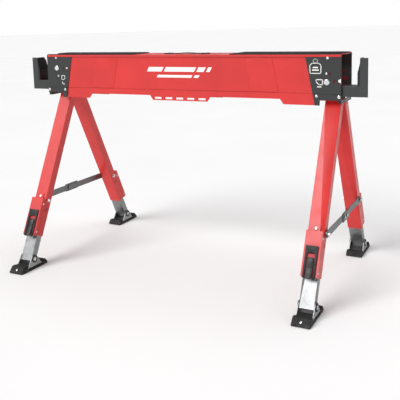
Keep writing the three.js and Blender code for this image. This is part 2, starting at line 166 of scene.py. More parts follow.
def tone(colour, factor, grey=0.0):
    mean = sum(colour) / 3
    return tuple(max(0.0, min(1.0, (c * (1 - grey) + mean * grey) * factor)) for c in colour)


def powder(name, colour, rough=0.36, peel=0.10, scuff=0.35, crease=None, slot_shade=False):
    """Powder coat: slow tone drift, orange peel, dust in patches and a few fine scuffs.

    crease is the height of a pressed line; the last flag paints near-black painted shade on the side
    of a support arm that faces the timber.
    """
    p = Paint(name, colour, rough)
    p.set(Coat_Weight=0.12, Coat_Roughness=0.25, Specular_IOR_Level=0.38)
    drift = p.remap(p.noise(7, 4), 0.35, 0.68)
    body = p.blend(drift, tone(colour, 0.90), tone(colour, 1.07))
    speck = p.remap(p.noise(1500, 1), 0.62, 0.8, 0, 0.25)
    body = p.blend(speck, body, tone(colour, 1.35, 0.1))
    lines = p.noise(34, 6, p.mapped((1, 1, 14), (0.5, 0.3, 0.2)), 0.75)
    scratch = p.math("MULTIPLY", p.remap(lines, 0.665, 0.70), p.remap(p.noise(9, 2), 0.5, 0.62, 0, scuff))
    body = p.blend(scratch, body, tone(colour, 1.5, 0.35))
    # painted shade: near-black on the arm's inner face above the ledge, standing for the shadow in the timber
    # slot
    if slot_shade:
        inside = p.remap(p.math("ABSOLUTE", p.axis(0)), SLOT_SHADE_X, SLOT_SHADE_X + 0.0003, 1, 0)
        above = p.remap(p.axis(2), SLOT_SHADE_Z, SLOT_SHADE_Z + 0.0004)
        body = p.blend(p.math("MULTIPLY", inside, above), body, SLOT_SHADE_BLACK)
    p.base(body)
    dust = p.remap(p.noise(22, 5), 0.4, 0.7, rough - 0.05, rough + 0.10)
    p.rough(p.math("ADD", dust, p.math("MULTIPLY", scratch, 0.25)))
    p.bump(p.noise(620, 2), peel, 0.0004)
    if crease is not None:
        gap = p.math("ABSOLUTE", p.math("SUBTRACT", p.axis(2), crease))
        p.bump(p.remap(gap, 0.0004, 0.0016), 1.0, 0.0012)
    return p


def plastic(name, colour, rough=0.55, grain=900.0, depth=0.00015):
    """Moulded plastic with a spark-eroded grain and faint handling marks."""
    p = Paint(name, colour, rough)
    p.set(Specular_IOR_Level=0.4)
    mark = p.remap(p.noise(30, 5, None, 0.65), 0.52, 0.72, 0, 0.5)
    p.base(p.blend(mark, colour, tone(colour, 1.9, 0.2)))
    p.rough(p.remap(p.noise(60, 3), 0.3, 0.7, rough - 0.08, rough + 0.1))
    p.bump(p.noise(grain, 2), 0.35, depth)
    return p


def plated(name, colour, turn=0.0, rough=0.3, streak=0.5):
    """Zinc plate over drawn or rolled steel: streaks along the part, cloudy spangle, fine pits."""
    p = Paint(name, colour, rough, 1.0)
    along = p.mapped((1, 1, 0.035), (turn, 0, 0))
    lines = p.remap(p.noise(420, 3, along, 0.6), 0.3, 0.7)
    cloud = p.remap(p.noise(45, 4), 0.35, 0.65)
    body = p.blend(cloud, tone(colour, 0.82), tone(colour, 1.15))
    p.base(p.blend(p.math("MULTIPLY", lines, streak), body, tone(colour, 0.72)))
    p.rough(p.math("ADD", p.remap(cloud, 0, 1, rough - 0.05, rough + 0.12), p.math("MULTIPLY", lines, 0.08)))
    p.bump(lines, 0.10, 0.0001)
    p.bump(p.noise(800, 2), 0.12, 0.0001)
    return p


def rubber(name, colour):
    """Moulded rubber: fine pebble, pale dust that gathers low down."""
    p = Paint(name, colour, 0.72)
    p.set(Specular_IOR_Level=0.35)
    low = p.remap(p.axis(2), 0.0, 0.014, 1, 0)
    dusty = p.math("MULTIPLY", p.remap(p.noise(85, 5), 0.42, 0.66), p.remap(low, 0, 1, 0.12, 0.6))
    p.base(p.blend(dusty, colour, (0.10, 0.095, 0.088)))
    p.rough(p.remap(p.noise(40, 4), 0.3, 0.7, 0.62, 0.84))
    p.bump(p.noise(700, 3), 0.4, 0.0003)
    return p


def webbing(name, colour):
    """Woven polypropylene webbing: chevron ribs across, yarns along, a little fuzz."""
    p = Paint(name, colour, 0.8)
    p.set(Sheen_Weight=0.25, Sheen_Roughness=0.5)
    x, y = p.axis(0), p.axis(1)
    fold = p.math("PINGPONG", p.math("ADD", y, 0.05), 0.0032)
    rib = p.math("SINE", p.math("MULTIPLY", p.math("ADD", x, fold), 2 * math.pi / 0.0019))
    yarn = p.math("SINE", p.math("MULTIPLY", y, 2 * math.pi / 0.0011))
    weave = p.math("ADD", p.math("MULTIPLY", rib, 0.65), p.math("MULTIPLY", yarn, 0.35))
    high = p.remap(weave, -1, 1)
    worn = p.math("MULTIPLY", high, p.remap(p.noise(120, 3), 0.3, 0.7, 0.4, 1))
    p.base(p.blend(worn, tone(colour, 0.6), tone(colour, 2.2)))
    p.bump(high, 0.8, 0.0004)
    p.bump(p.noise(1800, 2), 0.3, 0.0001)
    return p


def ink(name, colour):
    """Screen print: slightly worn, with pinholes."""
    p = Paint(name, colour, 0.5)
    worn = p.remap(p.noise(260, 5, None, 0.7), 0.60, 0.74, 0, 0.35)
    p.base(p.blend(worn, colour, tone(colour, 0.72)))
    p.rough(p.remap(p.noise(90, 3), 0.3, 0.7, 0.42, 0.6))
    p.bump(p.noise(900, 2), 0.15, 0.0001)
    return p


RED = (0.64, 0.030, 0.028)
GREY = (0.030, 0.031, 0.032)
# near-black colour of the painted shade inside the support arms
SLOT_SHADE_BLACK = (0.007, 0.007, 0.0075)
red = powder("red_powder_coat", RED).mat
crease_z = cad_box[1].z - CREASE_DEPTH
dark_plate = powder("charcoal_plate_coat", GREY, 0.42, 0.22, 0.5, crease_z).mat
# the arm coat carries painted shade on its inner face above the ledge
arm_coat_with_slot_shade = powder("charcoal_arm_coat_with_painted_shade", tone(GREY, 1.25), 0.40, 0.22, 0.5, None, True).mat
bracket_black = powder("black_bracket_coat", (0.011, 0.011, 0.012), 0.42, 0.22, 0.4).mat
black = plastic("black_moulding", (0.016, 0.016, 0.017)).mat
lever_black = plastic("lever_moulding", (0.010, 0.010, 0.011), 0.42, 700).mat
grip = plastic("pad_grip", (0.014, 0.014, 0.015), 0.62, 520, 0.0004).mat
zinc_tilt = {
    sy: plated(f"zinc_tube_{face}", (0.29, 0.295, 0.30), sy * SPLAY, 0.30, 0.55).mat
    for face, sy in FACES
}
zinc_flat = plated("zinc_strip", (0.20, 0.205, 0.21), math.pi / 2, 0.38, 0.5).mat
bright = plated("bright_fastener", (0.72, 0.73, 0.74), 0.0, 0.20, 0.2).mat
insert_steel = plated("foot_channel_steel", (0.36, 0.365, 0.37), math.pi / 2, 0.36, 0.4).mat
foot_rubber = rubber("foot_rubber", (0.013, 0.013, 0.013)).mat
web = webbing("black_webbing", (0.014, 0.014, 0.015)).mat
thread = plastic("strap_thread", (0.03, 0.03, 0.031), 0.7, 1500, 0.0001).mat
white = ink("white_print", (0.86, 0.86, 0.85)).mat
recess_red = plastic("red_moulding", (0.42, 0.014, 0.018), 0.45).mat
# dark red painted shade for the windows in the end plates
window_shade_red = plastic("window_painted_shade", (0.13, 0.006, 0.010), 0.5).mat


# ---------------------------------------------------------------- CAD nodes that stay
def finish_of(name):
    if name.endswith(("outer_leg", "latch_housing", "leg_hub", "_panel", "top_rail")):
        return red, 0.9
    if "end_plate" in name:
        return dark_plate, 0.5
    if "end_bracket" in name:
        return bracket_black, 0.7
    if "support_arm" in name:
        return arm_coat_with_slot_shade, 0.7
    if "top_pad" in name:
        return grip, 0.6
    if "extension" in name:
        return zinc_tilt[-1 if "front" in name else 1], 0.8
    if "_brace_" in name:
        return zinc_flat, 0.5
    if "insert" in name:
        return insert_steel, 0.6
    if "foot_pad" in name:
        return foot_rubber, 1.6
    return bright, 0.4


for name, node in nodes.items():
    material, width = finish_of(name)
    node.data.materials.clear()
    node.data.materials.append(material)
    weld = node.modifiers.new("weld", "WELD")
    weld.merge_threshold = 2e-6
    soft = node.modifiers.new("edges", "BEVEL")
    soft.width = width * MM
    soft.segments = 2
    soft.limit_method = "ANGLE"
    soft.angle_limit = math.radians(38)
    soft.harden_normals = False


# ---------------------------------------------------------------- mesh helpers
def finished(name, bm, material, body, place=None, crisp=35):
    """Turns a bmesh, in its own frame, into a piece in the row frame that rides on body."""
    if place is not None:
        bmesh.ops.transform(bm, matrix=place, verts=bm.verts)
    bmesh.ops.recalc_face_normals(bm, faces=bm.faces)
    for face in bm.faces:
        face.smooth = True
    for edge in bm.edges:
        edge.smooth = len(edge.link_faces) == 2 and edge.calc_face_angle(0) < math.radians(crisp)
    mesh = bpy.data.meshes.new(name)
    bm.to_mesh(mesh)
    bm.free()
    mesh.materials.append(material)
    piece = bpy.data.objects.new(name, mesh)
    bpy.context.scene.collection.objects.link(piece)
    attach(piece, body)
    return piece


def merge(parts):
    """Joins several bmeshes into the first."""
    first = parts[0]
    for other in parts[1:]:
        mesh = bpy.data.meshes.new("part")
        other.to_mesh(mesh)
        other.free()
        first.from_mesh(mesh)
        bpy.data.meshes.remove(mesh)
    return first


def prism(outline, low, high, bevel=0.0, segments=2):
    """Outline in XY, run from low to high along Z, edges rounded."""
    bm = bmesh.new()
    base = bm.faces.new([bm.verts.new((x, y, low)) for x, y in outline])
    top = bmesh.ops.extrude_face_region(bm, geom=[base])["geom"]
    risen = [v for v in top if isinstance(v, bmesh.types.BMVert)]
    bmesh.ops.translate(bm, vec=(0, 0, high - low), verts=risen)
    bmesh.ops.recalc_face_normals(bm, faces=bm.faces)
    if bevel:
        sharp = [e for e in bm.edges if e.calc_face_angle(0) > math.radians(25)]
        bmesh.ops.bevel(bm, geom=sharp, offset=bevel, segments=segments, profile=0.5, affect="EDGES")
    return bm


def lathe(profile, count=40):
    """Profile of (radius, height) turned about Z."""
    bm = bmesh.new()
    rows = []
    for radius, height in profile:
        if radius < 1e-7:
            rows.append([bm.verts.new((0, 0, height))])
        else:
            step = 2 * math.pi / count
            turns = [i * step for i in range(count)]
            rows.append([bm.verts.new((radius * math.cos(a), radius * math.sin(a), height)) for a in turns])
    for a, b in zip(rows, rows[1:]):
        for i in range(count):
            j = (i + 1) % count
            if len(a) == 1 and len(b) == 1:
                continue
            if len(a) == 1:
                bm.faces.new((a[0], b[i], b[j]))
            elif len(b) == 1:
                bm.faces.new((a[i], a[j], b[0]))
            else:
                bm.faces.new((a[i], a[j], b[j], b[i]))
    return bm


def rounded(points, radius, steps=4):
    """Rounds each corner of a polygon; radius is one number or one for each corner."""
    made = []
    count = len(points)
    radii = radius if isinstance(radius, (list, tuple)) else [radius] * count
    for i, (point, r) in enumerate(zip(points, radii)):
        p, a, b = Vector(point), Vector(points[i - 1]), Vector(points[(i + 1) % count])
        da, db = (a - p).normalized(), (b - p).normalized()
        half = da.angle(db) / 2
        if r <= 0 or half > 1.56:
            made.append(tuple(p))
            continue
        reach = min(r / math.tan(half), (a - p).length * 0.49, (b - p).length * 0.49)
        start, end = p + da * reach, p + db * reach
        for k in range(steps + 1):
            t = k / steps
            made.append(tuple(start * (1 - t) ** 2 + p * 2 * t * (1 - t) + end * t * t))
    return made


def facing(centre, normal, up=(0, 0, 1)):
    """Matrix that puts a local +Z piece at centre, looking along normal."""
    z = Vector(normal).normalized()
    x = Vector(up).cross(z)
    x = x.normalized() if x.length > 1e-6 else Vector((1, 0, 0))
    y = z.cross(x)
    turn = Matrix((x, y, z)).transposed().to_4x4()
    return Matrix.Translation(Vector(centre)) @ turn


def dome(radius, height, skirt=0.0004):
    """A rivet head."""
    steps = 7
    angles = [k / steps * math.pi / 2 for k in range(steps)]
    curve = [(radius * math.cos(a), skirt + (height - skirt) * math.sin(a)) for a in angles]
    return lathe([(0, -0.0004), (radius, -0.0004)] + curve + [(0, height)], 32)


def pan(radius, height):
    """A pan head screw with a round recess sunk in its crown."""
    return lathe([
        (0, -0.0004), (radius, -0.0004), (radius, height * 0.35), (radius * 0.93, height * 0.68),
        (radius * 0.72, height * 0.93), (radius * 0.45, height), (radius * 0.40, height - radius * 0.25),
        (0, height - radius * 0.32),
    ], 32)


def hexagon(flats, height, washer):
    """A hex bolt head with a chamfered crown and a washer face."""
    r = flats / 2 / math.cos(math.pi / 6)
    corners = [(r * math.cos(math.pi / 3 * k), r * math.sin(math.pi / 3 * k)) for k in range(6)]
    face = [(0, -0.0003), (washer, -0.0003), (washer, 0.0004), (washer - 0.0003, 0.0007), (0, 0.0007)]
    return merge([prism(corners, 0.0006, height, 0.0005), lathe(face, 32)])


# ---------------------------------------------------------------- beam
top = cad_box[1].z
end_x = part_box("top_rail")[1].x


def outer_y(name, sy):
    """The y of a node's outer side, on the front (sy -1) or the back (sy 1)."""
    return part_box(name)[0 if sy < 0 else 1].y


INK_THICK = 0.00012


def on_side(sy, y):
    """Matrix that stands an outline in (x, z) on the front or back at y, its thickness outward."""
    return Matrix(((1, 0, 0, 0), (0, 0, sy, y), (0, 1, 0, 0), (0, 0, 0, 1)))


panel_y = {sy: outer_y(f"{face}_panel", sy) for face, sy in FACES}
plate_y = {sy: outer_y(f"left_end_plate_{face}", sy) for face, sy in FACES}


def print_piece(name, outlines, sy, y):
    """Flat white shapes: outlines are lists of (x, depth) in metres, laid on a face at y."""
    parts = [prism([(x, top - d) for x, d in outline], 0.0, INK_THICK) for outline in outlines]
    return finished(name, merge(parts), white, "beam", on_side(sy, y - sy * 0.00003))


def stroke(points, width, closed=False):
    """One quad for each leg of a line, in millimetres."""
    made = []
    ends = points + points[:1] if closed else points
    for (x0, y0), (x1, y1) in zip(ends, ends[1:]):
        d = Vector((x1 - x0, y1 - y0)).normalized()
        n, c = Vector((-d.y, d.x)) * width / 2, d * width * 0.42
        a, b = Vector((x0, y0)) - c, Vector((x1, y1)) + c
        made.append([tuple((a + n) * MM), tuple((b + n) * MM), tuple((b - n) * MM), tuple((a - n) * MM)])
    return made


def slant(x0, x1, d0, d1, lean):
    """A slanted bar from x0 to x1 and from depth d0 to d1, in millimetres."""
    corners = [(x0, d1), (x1, d1), (x1 + lean, d0), (x0 + lean, d0)]
    return [(x * MM, d * MM) for x, d in corners]


def disc(x, d, r, count=20):
    """A round spot in millimetres."""
    angles = [2 * math.pi * k / count for k in range(count)]
    return [((x + r * math.cos(a)) * MM, (d + r * math.sin(a)) * MM) for a in angles]


def weight_icon(x, d):
    """Outline of a kettle weight with two plain bars, centred on x, from depth d down."""
    body = [
        (x - 9, d + 14), (x + 9, d + 14), (x + 16, d + 20),
        (x + 15, d + 42), (x - 15, d + 42), (x - 16, d + 20),
    ]
    ring = [(x + 6 * math.cos(a), d + 7 - 4.5 * math.sin(a)) for a in [math.pi * k / 6 for k in range(-1, 8)]]
    bars = [[(x - 6, d + 26), (x + 6, d + 26)], [(x - 8, d + 33), (x + 8, d + 33)]]
    return stroke(body, 2.1, True) + stroke(ring, 2.1) + [q for bar in bars for q in stroke(bar, 3.4)]


def timber_icon(x, d):
    """End of a board on a ledge, centred on x."""
    board = [(x - 9, d), (x + 9, d), (x + 9, d + 14), (x - 1, d + 14), (x - 9, d + 6)]
    return stroke(board, 2.3, True) + stroke([(x - 5, d + 20), (x + 5, d + 20)], 2.6)


WINDOWS = {"left": [(-0.432, 0.046)], "right": [(0.470, 0.056), (0.482, 0.076)]}


def pressing(side, face, sx, sy):
    """Raised slanted field pressed out of a side panel, with a soft edge all round."""
    a, b, lean, d0, d1 = 0.219, 0.301, 0.020, 0.0112, 0.1086
    y = panel_y[sy]
    edges = [(a, d0), (b, d0), (b + lean, d1), (a + lean, d1)]
    corners = [(sx * x, top - d) for x, d in edges]
    body = prism(rounded(corners, 0.003, 3), -0.0012, 0.0009, 0.0008, 3)
    finished(f"{side}_{face}_pressing", body, red, "beam", on_side(sy, y))


for side, sx in SIDES:
    for face, sy in FACES:
        pressing(side, face, sx, sy)

for face, sy in FACES:
    stripes = [
        slant(-112, -60, 40, 54, 8), slant(-52, 52, 40, 54, 8),
        slant(60, 84, 40, 54, 8), slant(92, 104, 40, 54, 8),
        slant(-78, 42, 64, 72, 5), slant(50, 66, 64, 72, 5),
    ]
    print_piece(f"{face}_stripes", stripes, sy, panel_y[sy])
    for side, sx in SIDES:
        y = plate_y[sy]
        if side == "right":
            wedge = [(0.492, 0.072), (0.499, 0.068), (0.499, 0.080), (0.492, 0.077)]
            marks = weight_icon(sx * 428, 12) + timber_icon(439, 71) + [wedge]
        else:
            marks = stroke([(-443, 71), (-430, 71), (-430, 80), (-434, 84), (-443, 84)], 2.0, True)
            marks = marks + [disc(-420, 46, 2.9)] + stroke([(-441, 92), (-440, 98), (-433, 99)], 2.4)
        print_piece(f"{side}_{face}_marks", marks, sy, y)
        heads = [(sx * (end_x - 0.038), 0.0115, 0.0042, 0.0018), (sx * 0.431, 0.117, 0.0040, 0.0018)]
        heads.append((-0.4555, 0.072, 0.0033, 0.0014) if side == "left" else (0.4590, 0.0545, 0.0033, 0.0014))
        rivets = []
        for x, d, r, h in heads:
            part = dome(r, h)
            bmesh.ops.transform(part, matrix=facing((x, y, top - d), (0, sy, 0)), verts=part.verts)
            rivets.append(part)
        finished(f"{side}_{face}_plate_rivets", merge(rivets), bright, "beam")

        # painted shade: a dark red sheet set back in each window of the end plate stands for the shaded red
        # hub seen through it
        window_shade_pieces = []
        for x, d in WINDOWS[side]:
            z, w, h = top - d, 0.008, 0.006
            corners = [(x - w, z - h), (x + w, z - h), (x + w, z + h), (x - w, z + h)]
            painted_shade_sheet = prism(rounded(corners, 0.002), 0.0, 0.0002)
            bmesh.ops.transform(painted_shade_sheet, matrix=on_side(sy, y - sy * 0.00225), verts=painted_shade_sheet.verts)
            window_shade_pieces.append(painted_shade_sheet)
        finished(f"{side}_{face}_window_shade_sheets", merge(window_shade_pieces), window_shade_red, "beam")

        low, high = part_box(f"{side}_pivot_pin_{face}")
        seat = plate_y[sy] + sy * 0.0003
        reach = abs((low.y if sy < 0 else high.y) - seat)
        r = (high.x - low.x) / 2
        shank = abs(seat - (high.y if sy < 0 else low.y))
        head = lathe([
            (0, -shank), (0.0046, -shank), (0.005, -shank + 0.0004), (0.005, 0), (r, 0),
            (r, reach * 0.45), (r - 0.0006, reach * 0.8),
            (r - 0.0018, reach), (r * 0.42, reach), (r * 0.36, reach - 0.0007),
            (r * 0.14, reach - 0.0009), (0, reach - 0.0009),
        ], 48)
        pin = finished(f"{side}_{face}_pivot_rivet", head, bright, f"{side}_pivot_pins",
                       facing(((low.x + high.x) / 2, seat, (low.z + high.z) / 2), (0, sy, 0)))
        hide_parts(f"{side}_pivot_pin_{face}")

for side, sx in SIDES:
    low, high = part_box(f"{side}_arm_pin")
    half = (high.y - low.y) / 2
    shank = plate_y[1] + 0.0003
    r = (high.x - low.x) / 2
    rise = half - shank
    end = [
        (0.004, shank), (r, shank), (r, shank + rise * 0.3), (r * 0.9, shank + rise * 0.75),
        (r * 0.55, half), (r * 0.3, half - 0.0004), (0, half - 0.0005),
    ]
    profile = [(a, -b) for a, b in reversed(end)] + end
    rod = finished(f"{side}_arm_rivet", lathe(profile, 36), bright, "beam",
                   facing(((low.x + high.x) / 2, 0, (low.z + high.z) / 2), (0, 1, 0)))
    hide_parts(f"{side}_arm_pin")


def pad_ribs(side, sx):
    """Raised grip ribs along the pad, broken at the opening for the arm."""
    low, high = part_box(f"top_pad_{side}")
    inner, outer = sorted((abs(low.x), abs(high.x)))
    parts = []
    count = 17
    pitch = (high.y - low.y - 0.010) / (count - 1)
    for k in range(count):
        y = low.y + 0.005 + k * pitch
        stop = outer - 0.074 if -0.0535 < y < -0.0005 else outer - 0.004
        a, b = sorted((sx * (inner + 0.005), sx * stop))
        outline = [(a, y - 0.0013), (b, y - 0.0013), (b, y + 0.0013), (a, y + 0.0013)]
        parts.append(prism(outline, top - 0.0003, top + 0.0007, 0.0004, 2))
    finished(f"{side}_pad_ribs", merge(parts), grip, "beam")


for side, sx in SIDES:
    pad_ribs(side, sx)


STRAP_FLAT_END = 0.024
STRAP_RISE = 0.0022


def build_strap():
    """Webbing handle: two folded ends riveted to the cap and a low arch between them."""
    low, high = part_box("carry_strap")
    half, width, base = high.x, high.y - low.y, low.z
    thick = 0.0014
    path = []
    steps = 44
    free = half - STRAP_FLAT_END
    for i in range(steps + 1):
        x = -half + 2 * half * i / steps
        arch = STRAP_RISE * (0.5 + 0.5 * math.cos(math.pi * min(1, abs(x) / free)))
        path.append((x, base + thick / 2 + (0 if abs(x) > free else arch)))
    bm = bmesh.new()
    cross = [
        (-0.5, -0.25), (-0.47, -0.5), (0, -0.5), (0.47, -0.5), (0.5, -0.25),
        (0.5, 0.25), (0.47, 0.5), (0, 0.5), (-0.47, 0.5), (-0.5, 0.25),
    ]
    rows = []
    for x, z in path:
        narrow = width * (1 - 0.05 * math.cos(x / half * math.pi / 2) ** 2)
        rows.append([bm.verts.new((x, y * narrow, z + t * thick)) for y, t in cross])
    n = len(cross)
    for a, b in zip(rows, rows[1:]):
        for i in range(n):
            bm.faces.new((a[i], a[(i + 1) % n], b[(i + 1) % n], b[i]))
    bm.faces.new(rows[0])
    bm.faces.new(list(reversed(rows[-1])))
    hems = []
    for s in (-1, 1):
        a, b = sorted((s * half, s * (half - 0.022)))
        w = width * 0.49
        outline = rounded([(a, -w), (b, -w), (b, w), (a, w)], 0.0012, 2)
        hems.append(prism(outline, base + thick - 0.0001, base + thick * 1.75, 0.0004))
    strap = finished("strap_webbing", merge([bm] + hems), web, "beam", crisp=50)
    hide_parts("carry_strap")
    stitches = []
    z = base + thick * 1.75
    for s in (-1, 1):
        out_x, in_x, w = s * (half - 0.002), s * (half - 0.020), 0.0095
        corners = [(out_x, -w), (out_x, w), (in_x, w), (in_x, -w)]
        for (x0, y0), (x1, y1) in zip(corners, corners[1:] + corners[:1]):
            count = max(3, int(math.hypot(x1 - x0, y1 - y0) / 0.0026))
            for k in range(count):
                t0, t1 = (k + 0.15) / count, (k + 0.85) / count
                a = Vector((x0 + (x1 - x0) * t0, y0 + (y1 - y0) * t0))
                b = Vector((x0 + (x1 - x0) * t1, y0 + (y1 - y0) * t1))
                n = (b - a).normalized().orthogonal() * 0.0003
                outline = [tuple(a - n), tuple(b - n), tuple(b + n), tuple(a + n)]
                stitches.append(prism(outline, z - 0.0002, z + 0.0003, 0.00012, 1))
    finished("strap_stitching", merge(stitches), thread, "beam")
    anchors = []
    for s in (-1, 1):
        washer = [(0, -0.0004), (0.0066, -0.0004), (0.0066, 0.0002), (0.0062, 0.0005), (0, 0.0005)]
        part = merge([dome(0.0042, 0.0018), lathe(washer, 36)])
        bmesh.ops.translate(part, vec=(s * (half - 0.011), 0, z + 0.0003), verts=part.verts)
        anchors.append(part)
    finished("strap_rivets", merge(anchors), bright, "beam")


build_strap()


# ---------------------------------------------------------------- legs
COS = joints["left_back_extend"]["axis"][2]
SIN = math.sqrt(1 - COS * COS)


def leg_frame(side, face, sy):
    """Leg frame: X along the beam, Y outward from the leg, Z up the leg, origin on the splay pin."""
    origin = Vector(joints[f"{side}_{face}_splay"]["pos_m"])
    y = Vector((0, sy * COS, SIN))
    z = Vector((0, -sy * SIN, COS))
    x = y.cross(z)
    return Matrix.Translation(origin) @ Matrix((x, y, z)).transposed().to_4x4()


def seen_from_outside(outline_x, low, high, bevel, place):
    """Prism whose outline is (x, s down the leg) and whose thickness runs outward, in the leg frame."""
    bm = prism([(x, -s) for x, s in outline_x], low, high, bevel)
    swap = Matrix(((1, 0, 0, 0), (0, 0, 1, 0), (0, 1, 0, 0), (0, 0, 0, 1)))
    bmesh.ops.transform(bm, matrix=place @ swap, verts=bm.verts)
    return bm


def along_leg(node, place):
    """Range of outward and down-the-leg distances of a CAD node."""
    back = place.inverted()
    points = [back @ v.co for v in nodes[node].data.vertices]
    outs, downs = [p.y for p in points], [-p.z for p in points]
    return min(outs), max(outs), min(downs), max(downs)


def latch(side, face, place):
    """Bezel, well and lever of a leg's latch, in the leg frame."""
    n = f"{side}_{face}"
    o0, o1, s0, s1 = along_leg(f"{n}_latch_bezel", place)
    half = 0.017
    slot_half, slot_top = 0.011, s0 + 0.026
    left = [(-half, s0), (-half, s1), (-slot_half, s1), (-slot_half, slot_top)]
    angles = [math.pi * (1 - k / 10) for k in range(1, 10)]
    arch = [(slot_half * math.cos(a), slot_top - slot_half * 0.75 * math.sin(a)) for a in angles]
    right = [(slot_half, slot_top), (slot_half, s1), (half, s1), (half, s0)]
    outline = left + arch + right
    bezel = seen_from_outside(outline, o0, o1 - 0.0006, 0.0009, place)
    edge = half - 0.0025
    lip = [(-edge, s0 + 0.0025), (edge, s0 + 0.0025), (edge, s0 + 0.012), (-edge, s0 + 0.012)]
    badge = seen_from_outside(rounded(lip, 0.0018), o1 - 0.0009, o1, 0.0003, place)
    piece = finished(f"{n}_bezel", merge([bezel, badge]), black, f"{n}_leg")
    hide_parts(f"{n}_latch_bezel")

    edge = slot_half - 0.0001
    high_s, low_s = slot_top - 0.006, s1 - 0.006
    well = rounded([(-edge, high_s), (edge, high_s), (edge, low_s), (-edge, low_s)], 0.002)
    floor_plate = seen_from_outside(well, o0 - 0.0022, o0 + 0.0004, 0.0003, place)
    finished(f"{n}_latch_well", floor_plate, recess_red, f"{n}_leg")

    l0, l1, _, t1 = along_leg(f"{n}_latch_lever", place)
    top_s = slot_top + 0.004
    outline = [
        (l0 + 0.0002, top_s), (l0 + 0.0026, top_s + 0.0006), (l0 + 0.0034, top_s + 0.006),
        (l0 + 0.0030, t1 - 0.026), (l0 + 0.0048, t1 - 0.012), (l1 - 0.0004, t1 - 0.0034),
        (l1, t1 - 0.0016), (l1 - 0.0014, t1), (l0 + 0.0024, t1 - 0.0075), (l0 + 0.0002, t1 - 0.012),
    ]
    parts = [prism(outline_yz(outline), -0.0088, 0.0088, 0.0007)]
    for k in range(4):
        s = top_s + 0.012 + k * 0.0042
        low, high = l0 + 0.0028, l0 + 0.0041
        rib = [(low, s), (high, s + 0.0006), (high, s + 0.0014), (low, s + 0.002)]
        parts.append(prism(outline_yz(rib), -0.0066, 0.0066, 0.0002, 1))
    lever = merge(parts)
    turn = Matrix(((0, 0, 1, 0), (1, 0, 0, 0), (0, 1, 0, 0), (0, 0, 0, 1)))
    piece = finished(f"{n}_lever_grip", lever, lever_black, f"{n}_lever", place @ turn)
    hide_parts(f"{n}_latch_lever")


def outline_yz(points):
    """(outward, down) pairs as leg-frame (Y, Z) pairs."""
    return [(o, -s) for o, s in points]


def leg_fasteners(side, face, place):
    """Screw and rivets that hold the latch housing."""
    n = f"{side}_{face}"
    o0, o1, s0, s1 = along_leg(f"{n}_latch_housing", place)
    turn = Matrix(((1, 0, 0, 0), (0, 0, 1, 0), (0, -1, 0, 0), (0, 0, 0, 1)))
    ear = pan(0.0052, 0.0026)
    spot = Matrix.Translation((0, o0 + 0.0024, -(s0 + 0.0085)))
    bmesh.ops.transform(ear, matrix=place @ spot @ turn, verts=ear.verts)
    parts = [ear]
    for sx in (-1, 1):
        for s, o in ((s1 - 0.012, o1 - 0.0065), (s0 + 0.034, o0 + 0.0060)):
            head = dome(0.0032, 0.0013)
            spin = Matrix.Rotation(sx * math.pi / 2, 4, "Y")
            spot = Matrix.Translation((sx * 0.0225, o, -s))
            bmesh.ops.transform(head, matrix=place @ spot @ spin, verts=head.verts)
            parts.append(head)
    finished(f"{n}_latch_screws", merge(parts), bright, f"{n}_leg")


def foot(side, face, sy):
    """Collars, bolt, toe screw and side ribs of a foot."""
    n = f"{side}_{face}"
    pivot = Vector(joints[f"{n}_foot_tilt"]["pos_m"])
    low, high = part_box(f"{n}_foot_insert")
    reach = (high.x - low.x) / 2
    pad_low, pad_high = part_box(f"{n}_foot_pad")
    collars, bolts = [], []
    blow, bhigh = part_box(f"{n}_foot_bolt")
    head_reach = (bhigh.x - blow.x) / 2
    for sx in (-1, 1):
        ring = lathe([
            (0.0076, 0), (0.0118, 0), (0.0118, 0.0010), (0.0110, 0.0019),
            (0.0088, 0.0021), (0.0076, 0.0014), (0.0076, 0),
        ], 40)
        place = facing(pivot + Vector((sx * reach, 0, 0)), (sx, 0, 0))
        bmesh.ops.transform(ring, matrix=place, verts=ring.verts)
        collars.append(ring)
        head = hexagon(0.0105, head_reach - reach - 0.0001, 0.0068)
        place = facing(pivot + Vector((sx * (reach + 0.0003), 0, 0)), (sx, 0, 0))
        bmesh.ops.transform(head, matrix=place, verts=head.verts)
        bolts.append(head)
    shank = lathe([(0, -reach), (0.004, -reach), (0.004, reach), (0, reach)], 28)
    bmesh.ops.transform(shank, matrix=facing(pivot, (1, 0, 0)), verts=shank.verts)
    finished(f"{n}_foot_collars", merge(collars), foot_rubber, f"{n}_foot")
    bolt = finished(f"{n}_foot_hex_bolt", merge(bolts + [shank]), bright, f"{n}_foot_pin")
    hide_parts(f"{n}_foot_bolt")

    toe_y = pad_low.y if sy < 0 else pad_high.y
    slope = Vector((0, sy * 16, 15)).normalized()
    centre = Vector((pivot.x, toe_y - sy * 0.0075, 0.0120))
    screw = pan(0.0034, 0.0014)
    bmesh.ops.transform(screw, matrix=facing(centre, slope, (1, 0, 0)), verts=screw.verts)
    finished(f"{n}_toe_screw", screw, bright, f"{n}_foot")
    bars = []
    for sx in (-1, 1):
        x = pivot.x + sx * (pad_high.x - pad_low.x) / 2
        for k in range(9):
            y = pad_low.y + 0.012 + k * (pad_high.y - pad_low.y - 0.024) / 8
            outline = [(y - 0.0022, 0.0022), (y + 0.0022, 0.0022), (y + 0.0015, 0.0070), (y - 0.0015, 0.0070)]
            rib = prism(outline, -0.0006, 0.0005, 0.0003, 1)
            turn = Matrix(((0, 0, sx, x), (1, 0, 0, 0), (0, 1, 0, 0), (0, 0, 0, 1)))
            bmesh.ops.transform(rib, matrix=turn, verts=rib.verts)
            bars.append(rib)
    finished(f"{n}_foot_ribs", merge(bars), foot_rubber, f"{n}_foot")


for side, sx in SIDES:
    for face, sy in FACES:
        place = leg_frame(side, face, sy)
        latch(side, face, place)
        leg_fasteners(side, face, place)
        foot(side, face, sy)


